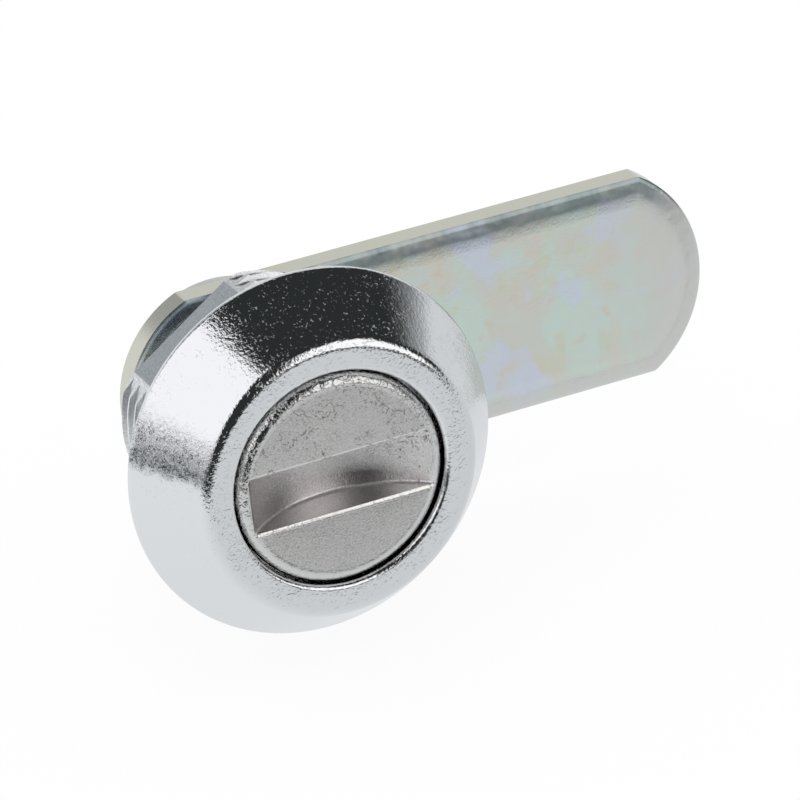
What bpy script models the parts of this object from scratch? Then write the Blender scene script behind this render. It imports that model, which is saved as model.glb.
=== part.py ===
# Coin-slot cam lock, shown part way through its quarter turn.
# Frame: the lock's axis is Y and its front faces -Y, the cam points along +X, and +Z is up.
# The origin is on the axis, in the plane of the flange's back face. Lengths are in metres.
# Angles about the axis are counted from +X towards +Z.

import math

import bmesh
import bpy
from mathutils import Matrix

# Flange and front ring
FLANGE_RADIUS = 0.0140
FLANGE_HEIGHT = 0.0063
RIM_ROUND = 0.0004
RIM_BAND = 0.0003
RING_WIDTH = 0.00145
RING_FILLET = 0.00116
BORE_LIP = 0.0004

# Threaded barrel, drawn at the thread's crest
BARREL_RADIUS = 0.0100
BARREL_LENGTH = 0.0109
BARREL_CHAMFER = 0.0002
ACROSS_FLATS = 0.0165
FLAT_DIRECTION = math.radians(33.5)

# Gaps between pieces
SEAT_GAP = 0.0003
SLIDE_GAP = 0.0002

# Core: the head with the coin slot, the neck and the square shank
HEAD_RADIUS = 0.0080
HEAD_GAP = 0.0003
HEAD_LENGTH = 0.0055
HEAD_ROUND = 0.0009
NECK_RADIUS = 0.0063
SHANK_SIDE = 0.0080
SLOT_LENGTH = 0.0141
SLOT_WIDTH = 0.0043
SLOT_DEPTH = 0.00336
SLOT_DROP = 0.00024

# Rubber ring in the neck's groove
SEAL_SECTION = 0.0013
SEAL_PLAY = 0.00015
GROOVE_PLACE = 0.0048
GROOVE_WIDTH = 0.0018

# Stop washer, whose ear runs between two lugs on the barrel's end
TURN_RANGE = math.radians(90.0)
STOP_WASHER_RADIUS = 0.0075
STOP_WASHER_THICKNESS = 0.0006
EAR_REACH = 0.0017
EAR_ANGLE = math.radians(24.0)
LUG_WIDTH = 0.0015

# Cam
CAM_WIDTH = 0.0161
CAM_THICKNESS = 0.00225
CAM_REACH = 0.0382
CAM_TIP_RADIUS = 0.0095
CAM_HEEL_RADIUS = 0.0087
CAM_CORNER = 0.0006
CAM_EDGE_ROUND = 0.00025

# Washers and screw
WASHER_RADIUS = 0.00765
WASHER_THICKNESS = 0.0013
SPRING_WIDTH = 0.0019
SPRING_THICKNESS = 0.0012
SPRING_RISE = 0.0005
SPRING_SLIT = math.radians(10.0)
SCREW_RADIUS = 0.0025
SCREW_LENGTH = 0.0120
SCREW_CHAMFER = 0.0005
SCREW_ROOM = 0.0010
PAN_RADIUS = 0.00475
PAN_SIDE = 0.0009
PAN_EDGE_ROUND = 0.0019
PAN_CROWN_TILT = math.radians(55.0)
RECESS_LENGTH = 0.0046
RECESS_WIDTH = 0.0011
RECESS_DEPTH = 0.0022
RECESS_TAPER = 0.45

# How finely round shapes are drawn, and how far a cutter runs past what it cuts
ROUND_STEPS = 96
SMALL_STEPS = 48
ARC_STEPS = 5
SECTION_STEPS = 10
SHARP_ANGLE = math.radians(30.0)
FLAT_ANGLE = math.radians(0.1)
OVERRUN = 0.0010

# Places along the axis, from the front to the back
FACE = -FLANGE_HEIGHT
HEAD_END = FACE + HEAD_LENGTH
BORE_STEP = HEAD_END + SEAT_GAP
STOP_WASHER_FRONT = BARREL_LENGTH + SEAT_GAP
STOP_WASHER_BACK = STOP_WASHER_FRONT + STOP_WASHER_THICKNESS
CAM_FRONT = STOP_WASHER_BACK + SEAT_GAP
CAM_BACK = CAM_FRONT + CAM_THICKNESS
SHANK_END = CAM_BACK - SEAT_GAP
WASHER_FRONT = CAM_BACK + SEAT_GAP
WASHER_BACK = WASHER_FRONT + WASHER_THICKNESS
SPRING_FRONT = WASHER_BACK + SEAT_GAP
SPRING_BACK = SPRING_FRONT + SPRING_THICKNESS + SPRING_RISE
PAN_FRONT = SPRING_BACK + SEAT_GAP
SCREW_TIP = PAN_FRONT - SCREW_LENGTH

# Radii that follow from a neighbour's size
HEAD_BORE_RADIUS = HEAD_RADIUS + HEAD_GAP
NECK_BORE_RADIUS = NECK_RADIUS + SLIDE_GAP
SCREW_HOLE_RADIUS = SCREW_RADIUS + SLIDE_GAP
SHANK_HOLE_SIDE = SHANK_SIDE + 2 * SLIDE_GAP
SEAL_RING_RADIUS = NECK_BORE_RADIUS - SEAL_PLAY - SEAL_SECTION / 2
GROOVE_RADIUS = SEAL_RING_RADIUS - SEAL_SECTION / 2 - SEAL_PLAY

# A turned shape is drawn along Z and laid along Y, and a flat one is drawn in XY and stood up
TURNED = (-math.pi / 2, 0.0, 0.0)
STOOD_UP = (math.pi / 2, 0.0, 0.0)


def clear_scene():
    for obj in list(bpy.data.objects):
        bpy.data.objects.remove(obj, do_unlink=True)


def new_collection(name):
    collection = bpy.data.collections.new(name)
    bpy.context.scene.collection.children.link(collection)
    return collection


def new_material(name, colour, roughness, metallic):
    material = bpy.data.materials.new(name)
    material.use_nodes = True
    shader = material.node_tree.nodes["Principled BSDF"]
    shader.inputs["Base Color"].default_value = (*colour, 1.0)
    shader.inputs["Roughness"].default_value = roughness
    shader.inputs["Metallic"].default_value = metallic
    return material


def add_object(name, data, collection, place=0.0, rotation=(0.0, 0.0, 0.0)):
    """An object whose origin is on the lock's axis, at the given place along it."""
    obj = bpy.data.objects.new(name, data)
    obj.location = (0.0, place, 0.0)
    obj.rotation_euler = rotation
    collection.objects.link(obj)
    return obj


def as_cutter(obj):
    obj.hide_render = True
    obj.display_type = "WIRE"
    return obj


def arc(centre, radius, start, end, steps=ARC_STEPS):
    """Points along an arc, both ends included."""
    turns = [start + (end - start) * i / steps for i in range(steps + 1)]
    return [(centre[0] + radius * math.cos(a), centre[1] + radius * math.sin(a)) for a in turns]


def turned(name, profile, collection, steps=ROUND_STEPS):
    """A profile of (radius, place along the axis) points turned about the lock's axis.

    The points run down the outer side, from the back of the lock to its front."""
    mesh = bpy.data.meshes.new(name)
    bm = bmesh.new()
    points = [bm.verts.new((radius, 0.0, place)) for radius, place in profile]
    for first, second in zip(points, points[1:]):
        bm.edges.new((first, second))
    if min(radius for radius, _ in profile) > 0.0:
        bm.edges.new((points[-1], points[0]))
    bm.to_mesh(mesh)
    bm.free()
    obj = add_object(name, mesh, collection, rotation=TURNED)
    screw = obj.modifiers.new("turn", "SCREW")
    screw.steps = screw.render_steps = steps
    screw.use_merge_vertices = True
    screw.merge_threshold = 1e-6
    return obj


def plate(name, outlines, front, back, collection, edge_round=0.0):
    """A plate between two places along the axis, cut to an outline and to any holes after it."""
    curve = bpy.data.curves.new(name, "CURVE")
    curve.dimensions = "2D"
    curve.fill_mode = "BOTH"
    curve.extrude = (back - front) / 2 - edge_round
    curve.bevel_depth = edge_round
    curve.bevel_resolution = 1
    curve.offset = -edge_round
    for outline in outlines:
        spline = curve.splines.new("POLY")
        spline.points.add(len(outline) - 1)
        for point, (x, z) in zip(spline.points, outline):
            point.co = (x, z, 0.0, 1.0)
        spline.use_cyclic_u = True
    drawn = add_object(name + "_outline", curve, collection, (front + back) / 2, STOOD_UP)
    obj = as_mesh(drawn, name, collection)
    bpy.data.objects.remove(drawn)
    refill_flat_faces(obj)
    return obj


def as_mesh(source, name, collection):
    """A mesh object with the evaluated shape and the place of another object, its seams welded."""
    bpy.context.view_layer.update()
    graph = bpy.context.evaluated_depsgraph_get()
    mesh = bpy.data.meshes.new_from_object(source.evaluated_get(graph))
    bm = bmesh.new()
    bm.from_mesh(mesh)
    bmesh.ops.remove_doubles(bm, verts=bm.verts, dist=1e-7)
    bmesh.ops.recalc_face_normals(bm, faces=bm.faces)
    bm.to_mesh(mesh)
    bm.free()
    obj = bpy.data.objects.new(name, mesh)
    obj.matrix_world = source.matrix_world.copy()
    collection.objects.link(obj)
    return obj


def refill_flat_faces(obj):
    """Fills each flat side of a plate anew, with triangles as compact as its outline allows."""
    bm = bmesh.new()
    bm.from_mesh(obj.data)
    bmesh.ops.dissolve_limit(bm, angle_limit=FLAT_ANGLE, verts=bm.verts, edges=bm.edges)
    bmesh.ops.triangulate(bm, faces=bm.faces, ngon_method="BEAUTY")
    bm.to_mesh(obj.data)
    bm.free()


def block(name, size, centre, turn, collection):
    """A box turned about the lock's axis, with its centre in its own turned directions."""
    mesh = bpy.data.meshes.new(name)
    bm = bmesh.new()
    bmesh.ops.create_cube(bm, size=1.0)
    bmesh.ops.scale(bm, vec=size, verts=bm.verts)
    bmesh.ops.translate(bm, vec=centre, verts=bm.verts)
    bmesh.ops.rotate(bm, cent=(0, 0, 0), matrix=Matrix.Rotation(-turn, 3, "Y"), verts=bm.verts)
    bm.to_mesh(mesh)
    bm.free()
    return add_object(name, mesh, collection)


def combine(obj, operation, other):
    modifier = obj.modifiers.new(other.name, "BOOLEAN")
    modifier.operation = operation
    modifier.solver = "EXACT"
    modifier.object = other


def finish(obj, material, parts):
    """Replaces an object by its final mesh, shaded smooth up to its sharp edges."""
    name = obj.name
    obj.name = name + "_rough"
    final = as_mesh(obj, name, parts)
    bpy.data.objects.remove(obj, do_unlink=True)
    final.data.shade_smooth()
    final.data.set_sharp_from_angle(angle=SHARP_ANGLE)
    final.data.materials.clear()
    final.data.materials.append(material)
    return final


def square(side):
    half = side / 2
    return [(half, half), (half, -half), (-half, -half), (-half, half)]


def flange_profile():
    """Outer side of the flange, from its back face over the rim and the cone to the front ring.

    The cone is the line that touches both the rim's round and the ring's fillet."""
    rim_centre = (FLANGE_RADIUS - RIM_ROUND, -RIM_ROUND - RIM_BAND)
    fillet_centre = (HEAD_BORE_RADIUS + RING_WIDTH, FACE + RING_FILLET)
    inwards = fillet_centre[0] - rim_centre[0]
    forwards = fillet_centre[1] - rim_centre[1]
    apart = math.hypot(inwards, forwards)
    cone_normal = math.atan2(forwards, inwards) + math.acos((RIM_ROUND - RING_FILLET) / apart)
    return (
        [(0.0, 0.0)]
        + arc((rim_centre[0], -RIM_ROUND), RIM_ROUND, math.pi / 2, 0.0)
        + arc(rim_centre, RIM_ROUND, 0.0, cone_normal)
        + arc(fillet_centre, RING_FILLET, cone_normal, -math.pi / 2)
        + [(0.0, FACE)]
    )


def barrel_profile():
    chamfered = BARREL_RADIUS - BARREL_CHAMFER
    return [
        (0.0, BARREL_LENGTH),
        (chamfered, BARREL_LENGTH),
        (BARREL_RADIUS, BARREL_LENGTH - BARREL_CHAMFER),
        (BARREL_RADIUS, -OVERRUN),
        (0.0, -OVERRUN),
    ]


def bore_profile():
    """The stepped bore as a solid, with the round lip that it leaves on the front ring."""
    lip = arc(
        (HEAD_BORE_RADIUS + BORE_LIP, FACE + BORE_LIP), BORE_LIP, -math.pi, -math.pi / 2
    )
    return (
        [(0.0, BARREL_LENGTH + OVERRUN), (NECK_BORE_RADIUS, BARREL_LENGTH + OVERRUN)]
        + [(NECK_BORE_RADIUS, BORE_STEP), (HEAD_BORE_RADIUS, BORE_STEP)]
        + lip
        + [(HEAD_BORE_RADIUS + BORE_LIP, FACE - OVERRUN), (0.0, FACE - OVERRUN)]
    )


def lug_outline(direction):
    """One stop lug: it starts where the ear's side comes to rest, and is even about its middle."""
    inner = STOP_WASHER_RADIUS + SEAT_GAP
    outer = inner + LUG_WIDTH
    rest_gap = SEAT_GAP / inner
    half_span = (math.pi - TURN_RANGE - EAR_ANGLE) / 2 - rest_gap
    start, end = direction - half_span, direction + half_span
    return arc((0, 0), outer, start, end, 2 * ARC_STEPS) + arc((0, 0), inner, end, start, 2 * ARC_STEPS)


def make_housing(parts, cutters, material):
    housing = turned("housing", flange_profile(), parts)
    barrel = as_cutter(turned("barrel_blank", barrel_profile(), cutters))
    length = BARREL_LENGTH + 4 * OVERRUN
    depth = BARREL_RADIUS
    for name, side in (("flat_cut_upper", 1), ("flat_cut_lower", -1)):
        centre = (0.0, BARREL_LENGTH / 2, side * (ACROSS_FLATS + depth) / 2)
        size = (4 * BARREL_RADIUS, length, depth)
        combine(barrel, "DIFFERENCE", as_cutter(block(name, size, centre, FLAT_DIRECTION, cutters)))
    for name, direction in (("lug_near", FLAT_DIRECTION), ("lug_far", FLAT_DIRECTION + math.pi)):
        lug = plate(
            name, [lug_outline(direction)], BARREL_LENGTH - OVERRUN, STOP_WASHER_BACK, cutters
        )
        combine(barrel, "UNION", as_cutter(lug))
    combine(housing, "UNION", barrel)
    combine(housing, "DIFFERENCE", as_cutter(turned("bore_cut", bore_profile(), cutters)))
    return finish(housing, material, parts)


def core_profile():
    """Neck, ring groove and round-edged head, from the shank's shoulder to the face."""
    groove_start = GROOVE_PLACE - GROOVE_WIDTH / 2
    groove_end = GROOVE_PLACE + GROOVE_WIDTH / 2
    return (
        [(0.0, BARREL_LENGTH), (NECK_RADIUS, BARREL_LENGTH)]
        + [(NECK_RADIUS, groove_end), (GROOVE_RADIUS, groove_end)]
        + [(GROOVE_RADIUS, groove_start), (NECK_RADIUS, groove_start)]
        + [(NECK_RADIUS, HEAD_END), (HEAD_RADIUS, HEAD_END)]
        + arc((HEAD_RADIUS - HEAD_ROUND, FACE + HEAD_ROUND), HEAD_ROUND, 0.0, -math.pi / 2)
        + [(0.0, FACE)]
    )


def slot_cutter(cutters):
    """A coin standing on edge in the face: its chord there is the slot's length."""
    coin_radius = ((SLOT_LENGTH / 2) ** 2 + SLOT_DEPTH**2) / (2 * SLOT_DEPTH)
    mesh = bpy.data.meshes.new("coin_cut")
    bm = bmesh.new()
    bmesh.ops.create_cone(
        bm, cap_ends=True, segments=ROUND_STEPS, radius1=coin_radius, radius2=coin_radius,
        depth=SLOT_WIDTH,
    )
    centre = (0.0, FACE + SLOT_DEPTH - coin_radius, -SLOT_DROP)
    bmesh.ops.translate(bm, vec=centre, verts=bm.verts)
    bm.to_mesh(mesh)
    bm.free()
    return as_cutter(add_object("coin_cut", mesh, cutters))


def make_core(parts, cutters, material):
    core = turned("core", core_profile(), parts)
    shank_start = BARREL_LENGTH - OVERRUN
    size = (SHANK_SIDE, SHANK_END - shank_start, SHANK_SIDE)
    centre = (0.0, (shank_start + SHANK_END) / 2, 0.0)
    combine(core, "UNION", as_cutter(block("shank", size, centre, 0.0, cutters)))
    hole = [
        (0.0, SHANK_END + OVERRUN),
        (SCREW_HOLE_RADIUS, SHANK_END + OVERRUN),
        (SCREW_HOLE_RADIUS, SCREW_TIP - SCREW_ROOM),
        (0.0, SCREW_TIP - SCREW_ROOM - SCREW_HOLE_RADIUS / 2),
    ]
    combine(core, "DIFFERENCE", as_cutter(turned("tapped_hole", hole, cutters, SMALL_STEPS)))
    combine(core, "DIFFERENCE", slot_cutter(cutters))
    return finish(core, material, parts)


def make_seal(parts, material):
    bpy.ops.mesh.primitive_torus_add(
        major_radius=SEAL_RING_RADIUS,
        minor_radius=SEAL_SECTION / 2,
        major_segments=SMALL_STEPS,
        minor_segments=SECTION_STEPS,
        location=(0.0, GROOVE_PLACE, 0.0),
        rotation=TURNED,
    )
    seal = bpy.context.object
    for holder in list(seal.users_collection):
        holder.objects.unlink(seal)
    parts.objects.link(seal)
    seal.name = "o_ring"
    return finish(seal, material, parts)


def stop_washer_outline():
    """A round washer with one ear, which stands mid-way between the lugs at half turn."""
    ear_middle = (TURN_RANGE - math.pi) / 2
    ear_start, ear_end = ear_middle - EAR_ANGLE / 2, ear_middle + EAR_ANGLE / 2
    reach = STOP_WASHER_RADIUS + EAR_REACH - SEAT_GAP
    ear = arc((0, 0), reach, ear_start, ear_end)
    rest = arc((0, 0), STOP_WASHER_RADIUS, ear_end, ear_start + 2 * math.pi, ROUND_STEPS)
    return ear + rest


def make_stop_washer(parts, material):
    outlines = [stop_washer_outline(), square(SHANK_HOLE_SIDE)]
    washer = plate("stop_washer", outlines, STOP_WASHER_FRONT, STOP_WASHER_BACK, parts)
    return finish(washer, material, parts)


def round_end(radius, centre):
    """One end of the cam, from its lower side to its upper side, with small rounds between."""
    half = CAM_WIDTH / 2 - CAM_CORNER
    reach = math.sqrt((radius - CAM_CORNER) ** 2 - half**2)
    turn = math.atan2(half, reach)
    lower = arc((centre + reach, -half), CAM_CORNER, -math.pi / 2, -turn)
    middle = arc((centre, 0.0), radius, -turn, turn, 4 * ARC_STEPS)
    upper = arc((centre + reach, half), CAM_CORNER, turn, math.pi / 2)
    return lower[:-1] + middle + upper[1:]


def cam_outline():
    """Flatter round tip, straight sides, and a round heel about the axis."""
    tip = round_end(CAM_TIP_RADIUS, CAM_REACH - CAM_TIP_RADIUS)
    heel = [(-x, -z) for x, z in round_end(CAM_HEEL_RADIUS, 0.0)]
    return tip + heel


def make_cam(parts, material):
    outlines = [cam_outline(), square(SHANK_HOLE_SIDE)]
    cam = plate("cam", outlines, CAM_FRONT, CAM_BACK, parts, CAM_EDGE_ROUND)
    return finish(cam, material, parts)


def make_washer(parts, material):
    profile = [
        (WASHER_RADIUS, WASHER_BACK),
        (WASHER_RADIUS, WASHER_FRONT),
        (SCREW_HOLE_RADIUS, WASHER_FRONT),
        (SCREW_HOLE_RADIUS, WASHER_BACK),
    ]
    return finish(turned("washer", profile, parts), material, parts)


def make_spring_washer(parts, material):
    """A square section spun most of the way round, rising a little as it goes."""
    mesh = bpy.data.meshes.new("spring_washer")
    bm = bmesh.new()
    inner, outer = SCREW_HOLE_RADIUS, SCREW_HOLE_RADIUS + SPRING_WIDTH
    front, back = SPRING_FRONT, SPRING_FRONT + SPRING_THICKNESS
    corners = [(inner, front), (outer, front), (outer, back), (inner, back)]
    section = bm.faces.new([bm.verts.new((radius, place, 0.0)) for radius, place in corners])
    bmesh.ops.spin(
        bm,
        geom=[section, *section.edges, *section.verts],
        cent=(0, 0, 0),
        axis=(0, 1, 0),
        dvec=(0, SPRING_RISE / SMALL_STEPS, 0),
        angle=2 * math.pi - SPRING_SLIT,
        steps=SMALL_STEPS,
    )
    bmesh.ops.recalc_face_normals(bm, faces=bm.faces)
    bm.to_mesh(mesh)
    bm.free()
    return finish(add_object("spring_washer", mesh, parts), material, parts)


def pan_head_centres():
    """Where the round of the pan head's edge and the flatter round of its crown are centred."""
    edge = (PAN_RADIUS - PAN_EDGE_ROUND, PAN_FRONT + PAN_SIDE)
    crown = (0.0, edge[1] - edge[0] * math.tan(PAN_CROWN_TILT))
    return edge, crown


def pan_head_back():
    edge, crown = pan_head_centres()
    return crown[1] + edge[0] / math.cos(PAN_CROWN_TILT) + PAN_EDGE_ROUND


def screw_profile():
    """A pan head whose crown runs on into the round of its edge, and the shank as a plain rod."""
    edge, crown = pan_head_centres()
    return (
        arc(crown, pan_head_back() - crown[1], math.pi / 2, PAN_CROWN_TILT)
        + arc(edge, PAN_EDGE_ROUND, PAN_CROWN_TILT, 0.0)[1:]
        + [(PAN_RADIUS, PAN_FRONT), (SCREW_RADIUS, PAN_FRONT)]
        + [(SCREW_RADIUS, SCREW_TIP + SCREW_CHAMFER), (SCREW_RADIUS - SCREW_CHAMFER, SCREW_TIP)]
        + [(0.0, SCREW_TIP)]
    )


def recess_blade(name, turn, cutters):
    """One arm of the cross recess: a blade that is narrower at the recess's floor."""
    floor = pan_head_back() - RECESS_DEPTH
    size = (RECESS_LENGTH, RECESS_DEPTH + OVERRUN, RECESS_WIDTH)
    blade = block(name, size, (0.0, floor + size[1] / 2, 0.0), turn, cutters)
    middle = floor + RECESS_DEPTH / 2
    for vertex in blade.data.vertices:
        if vertex.co.y < middle:
            vertex.co.x *= RECESS_TAPER
            vertex.co.z *= RECESS_TAPER
    return as_cutter(blade)


def make_screw(parts, cutters, material):
    screw = turned("cam_screw", screw_profile(), parts, SMALL_STEPS)
    for name, turn in (("recess_level", 0.0), ("recess_upright", math.pi / 2)):
        combine(screw, "DIFFERENCE", recess_blade(name, turn, cutters))
    return finish(screw, material, parts)


def make_lock():
    clear_scene()
    parts = new_collection("coin_slot_cam_lock")
    cutters = new_collection("cutters")
    chrome = new_material("chrome_plate", (0.80, 0.81, 0.82), 0.08, 1.0)
    satin = new_material("satin_casting", (0.56, 0.55, 0.54), 0.35, 1.0)
    passivated = new_material("passivated_zinc", (0.70, 0.71, 0.64), 0.28, 1.0)
    rubber = new_material("black_rubber", (0.02, 0.02, 0.02), 0.7, 0.0)
    steel = new_material("zinc_plated_steel", (0.62, 0.63, 0.62), 0.3, 1.0)

    make_housing(parts, cutters, chrome)
    turning = [
        make_core(parts, cutters, satin),
        make_seal(parts, rubber),
        make_stop_washer(parts, steel),
        make_cam(parts, passivated),
        make_washer(parts, steel),
        make_spring_washer(parts, steel),
        make_screw(parts, cutters, steel),
    ]
    axis = add_object("turning_axis", None, parts)
    for piece in turning:
        piece.parent = axis


make_lock()
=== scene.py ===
# %% [markdown]
# # A cam lock that a coin turns
#
# Lockers, meter boxes and cabinet doors are often held shut by a small lock like this one. A chromed
# barrel sits in a hole of the door, a slotted core turns in it, and a long flat bar on the core's back
# end, the cam, swings behind the frame. This lesson dresses the lock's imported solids: it builds each
# piece again as a fine mesh, paints the plated metals, and sets up a small studio round them.
#
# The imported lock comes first, because every size below is taken from it or measured against it.

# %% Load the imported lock
import math

import bmesh
import bpy
from mathutils import Matrix, Vector


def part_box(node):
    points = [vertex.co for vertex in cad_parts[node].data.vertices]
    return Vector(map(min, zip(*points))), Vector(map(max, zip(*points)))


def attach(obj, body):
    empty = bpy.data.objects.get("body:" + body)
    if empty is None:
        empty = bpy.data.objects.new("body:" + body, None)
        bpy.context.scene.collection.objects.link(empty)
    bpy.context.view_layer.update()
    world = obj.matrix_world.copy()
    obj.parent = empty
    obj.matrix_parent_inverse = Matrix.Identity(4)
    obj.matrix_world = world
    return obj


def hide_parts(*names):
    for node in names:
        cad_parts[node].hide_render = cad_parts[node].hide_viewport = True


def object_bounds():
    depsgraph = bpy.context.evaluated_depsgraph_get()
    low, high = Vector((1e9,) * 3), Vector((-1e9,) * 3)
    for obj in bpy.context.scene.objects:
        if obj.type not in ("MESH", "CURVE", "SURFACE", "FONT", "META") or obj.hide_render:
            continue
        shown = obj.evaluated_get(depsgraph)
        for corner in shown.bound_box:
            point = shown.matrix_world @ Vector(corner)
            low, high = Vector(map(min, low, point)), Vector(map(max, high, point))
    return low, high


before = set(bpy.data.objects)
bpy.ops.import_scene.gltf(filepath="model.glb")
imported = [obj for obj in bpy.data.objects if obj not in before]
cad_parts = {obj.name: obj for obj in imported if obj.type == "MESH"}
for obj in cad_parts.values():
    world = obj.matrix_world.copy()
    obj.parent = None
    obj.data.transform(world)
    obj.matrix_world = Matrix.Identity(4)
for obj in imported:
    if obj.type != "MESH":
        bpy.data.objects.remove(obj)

cad_low, cad_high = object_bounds()
print("lock from", tuple(cad_low), "to", tuple(cad_high))

# %% [markdown]
# ## Sizes
#
# The lock's axis is Y and its front faces -Y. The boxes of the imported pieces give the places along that
# axis and the outer radii, so a changed lock carries its dress with it. Only what a box can't tell, such
# as the width of a round or of the front ring, is written here. Lengths are in metres, and MM keeps
# small ones readable.

# %% Read the sizes
MM = 0.001
housing_low, housing_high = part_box("housing")
_, core_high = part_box("core")
seal_low, seal_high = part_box("o_ring")
stop_low, stop_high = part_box("stop_washer")
cam_low, cam_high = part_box("cam")
washer_low, washer_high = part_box("washer")
spring_low, spring_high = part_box("spring_washer")
screw_low, screw_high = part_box("cam_screw")

FACE = housing_low.y
FLANGE_RADIUS = housing_high.x
HEAD_RADIUS = core_high.x
LUG_END = housing_high.y
SEAT_GAP = 0.3 * MM
HAIR = 0.01 * MM
BARREL_END = stop_low.y - SEAT_GAP
BARREL_RADIUS = 10.0 * MM
print("flange radius", FLANGE_RADIUS, "front face at", FACE, "barrel ends at", BARREL_END)

# %% [markdown]
# ## Turning a profile
#
# Most of the lock is turned on a lathe or cast in a turned die, so one helper spins a profile about the
# axis. A profile is a list of (radius, place along Y) points. Rounds are drawn with many short steps:
# chrome shows every facet that a reflection crosses, and this mesh only has to look right, so it can be
# much finer than the solid it stands for.

# %% Profiles, spinning and meshes
FINE_STEPS = 256
SMALL_STEPS = 128
ROUND_POINTS = 10
SMOOTH_UNDER = math.radians(32)


def arc(centre, radius, start, end, steps=ROUND_POINTS):
    """Points along an arc of a profile, both ends included."""
    turns = [start + (end - start) * i / steps for i in range(steps + 1)]
    return [(centre[0] + radius * math.cos(a), centre[1] + radius * math.sin(a)) for a in turns]


def spin(profile, steps=FINE_STEPS):
    """A closed mesh from a profile that is turned about the lock's axis."""
    bm = bmesh.new()
    points = [bm.verts.new((radius, place, 0.0)) for radius, place in profile]
    edges = [bm.edges.new(pair) for pair in zip(points, points[1:])]
    if min(radius for radius, _ in profile) > 0.0:
        edges.append(bm.edges.new((points[-1], points[0])))
    bmesh.ops.spin(
        bm, geom=points + edges, axis=(0, 1, 0), cent=(0, 0, 0), angle=2 * math.pi,
        steps=steps, use_merge=True,
    )
    bmesh.ops.remove_doubles(bm, verts=bm.verts, dist=1e-8)
    bmesh.ops.recalc_face_normals(bm, faces=bm.faces)
    return bm


def as_object(name, bm):
    mesh = bpy.data.meshes.new(name)
    bm.to_mesh(mesh)
    bm.free()
    obj = bpy.data.objects.new(name, mesh)
    bpy.context.scene.collection.objects.link(obj)
    return obj


def settle(obj):
    """Puts an object's modifiers into its mesh."""
    graph = bpy.context.evaluated_depsgraph_get()
    mesh = bpy.data.meshes.new_from_object(obj.evaluated_get(graph))
    obj.modifiers.clear()
    obj.data = mesh


def carve(obj, operation, tool):
    """Cuts a tool from an object, or joins it on, and then clears the tool away."""
    change = obj.modifiers.new("carve", "BOOLEAN")
    change.operation = operation
    change.solver = "EXACT"
    change.object = tool
    settle(obj)
    bpy.data.objects.remove(tool)


def dress(obj, body, node, material):
    """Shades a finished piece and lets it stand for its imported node.

    Weighted normals keep a flat face flat to its edge, where a round begins."""
    obj.data.materials.clear()
    obj.data.materials.append(material)
    obj.data.shade_smooth()
    obj.data.set_sharp_from_angle(angle=SMOOTH_UNDER)
    flatter = obj.modifiers.new("flatter", "WEIGHTED_NORMAL")
    flatter.keep_sharp = True
    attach(obj, body)
    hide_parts(node)
    print(obj.name, len(obj.data.vertices), "points,", len(obj.data.polygons), "faces")


print("a spun round has", FINE_STEPS, "sides")

# %% [markdown]
# ## Writing shaders as sums
#
# A shader is a net of nodes, which is hard to read as code. Two small classes help. A Wire is the value
# that leaves a socket, and +, - and * on it add the Math nodes. A Board is the net itself, and its one
# method, node, adds any node: first its settings, then the values or wires of its sockets.

# %% Wires and boards
class Wire:
    """A value in a shader. Sums on it add Math nodes."""

    def __init__(self, board, socket):
        self.board = board
        self.socket = socket

    def math(self, operation, first, second):
        return self.board.node("ShaderNodeMath", {"operation": operation}, {0: first, 1: second})

    def __add__(self, other):
        return self.math("ADD", self, other)

    def __radd__(self, other):
        return self.math("ADD", other, self)

    def __sub__(self, other):
        return self.math("SUBTRACT", self, other)

    def __rsub__(self, other):
        return self.math("SUBTRACT", other, self)

    def __mul__(self, other):
        return self.math("MULTIPLY", self, other)

    def __rmul__(self, other):
        return self.math("MULTIPLY", other, self)


class Board:
    """The node net of a material or of the world."""

    def __init__(self, owner):
        owner.use_nodes = True
        self.tree = owner.node_tree
        self.tree.nodes.clear()

    def node(self, kind, settings=None, sockets=None, out=0):
        """Adds a node and gives the wire that leaves one of its sockets."""
        made = self.tree.nodes.new(kind)
        for name, value in (settings or {}).items():
            setattr(made, name, value)
        for place, value in (sockets or {}).items():
            if isinstance(value, Wire):
                self.tree.links.new(value.socket, made.inputs[place])
            else:
                made.inputs[place].default_value = value
        return Wire(self, made.outputs[out]) if len(made.outputs) else None


print("shader helpers are ready")

# %% [markdown]
# A few words that every finish below uses: a smooth step between two levels, a mix of two colours, noise
# of a given grain, and a bump. Bump heights are real lengths, so a grain 0.2 mm wide that is a few
# thousandths of a millimetre deep tilts the surface by a few degrees, as it would on the bench.

# %% Shader words
def step(value, low, high):
    """0 below low, 1 above high, and a smooth rise between."""
    return value.board.node(
        "ShaderNodeMapRange", {"interpolation_type": "SMOOTHSTEP"}, {0: value, 1: low, 2: high}
    )


def band(value, low, high, soft):
    """1 between low and high, with edges that are soft wide."""
    return step(value, low - soft, low + soft) * (1 - step(value, high - soft, high + soft))


def blend(mask, off, on):
    """A colour that goes from off to on as the mask goes from 0 to 1."""
    return mask.board.node(
        "ShaderNodeMix", {"data_type": "RGBA"}, {0: mask, 6: off, 7: on}, out=2
    )


def rgb(red, green, blue):
    return (red, green, blue, 1.0)


def grain(where, size, detail=2.0, warp=0.0):
    """Noise whose lumps are about size metres across."""
    sockets = {"Vector": where, "Scale": 1 / size, "Detail": detail, "Distortion": warp}
    return where.board.node("ShaderNodeTexNoise", {}, sockets)


def axes_of(vector):
    """The three numbers of a vector, each as a wire of its own."""
    split = vector.board.node("ShaderNodeSeparateXYZ", {}, {0: vector}).socket.node
    return [Wire(vector.board, socket) for socket in split.outputs]


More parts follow.
